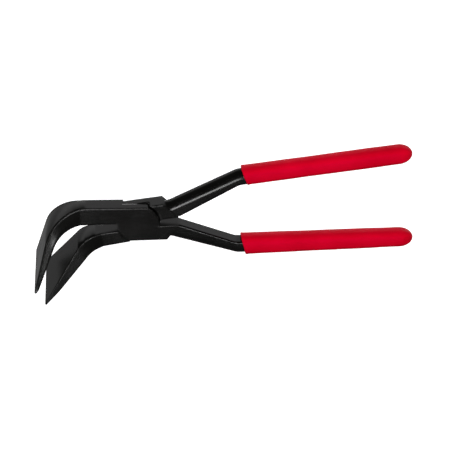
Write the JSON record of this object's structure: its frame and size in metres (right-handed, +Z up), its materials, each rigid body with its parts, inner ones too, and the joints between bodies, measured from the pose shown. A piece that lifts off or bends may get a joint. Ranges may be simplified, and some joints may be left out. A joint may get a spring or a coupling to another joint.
{
  "type": "sheet metal seaming pliers",
  "caption": "Hand pliers with two wide, flared jaws bent downward for folding sheet metal edges, a riveted lap joint and dipped handle grips.",
  "frame": {"origin": "where the pivot axis meets the flat outer face of the front joint cheek", "axes": "+X from the joint towards the handles, +Y along the pivot axis from the front cheek to the rear cheek, +Z up in the plane in which the pliers open, with the jaws bent towards -Z"},
  "size_m": [0.2807, 0.06, 0.0894],
  "materials": {
    "black_forging": "satin black lacquer on forged steel",
    "black_rivet": "satin black lacquer over the rivet end, ground flush",
    "red_grip": "smooth red dipped PVC with a soft gloss"
  },
  "bodies": {
    "upper_jaw_half": {"upper_jaw_lever": "black_forging", "joint_rivet": "black_rivet", "lower_handle_grip": "red_grip"},
    "lower_jaw_half": {"lower_jaw_lever": "black_forging", "upper_handle_grip": "red_grip"}
  },
  "joints": [
    {"name": "pivot", "type": "hinge", "parent": "upper_jaw_half", "child": "lower_jaw_half", "pos_m": [0, 0.00675, 0], "axis": [0, -1, 0], "range_deg": [-7, 23]}
  ]
}
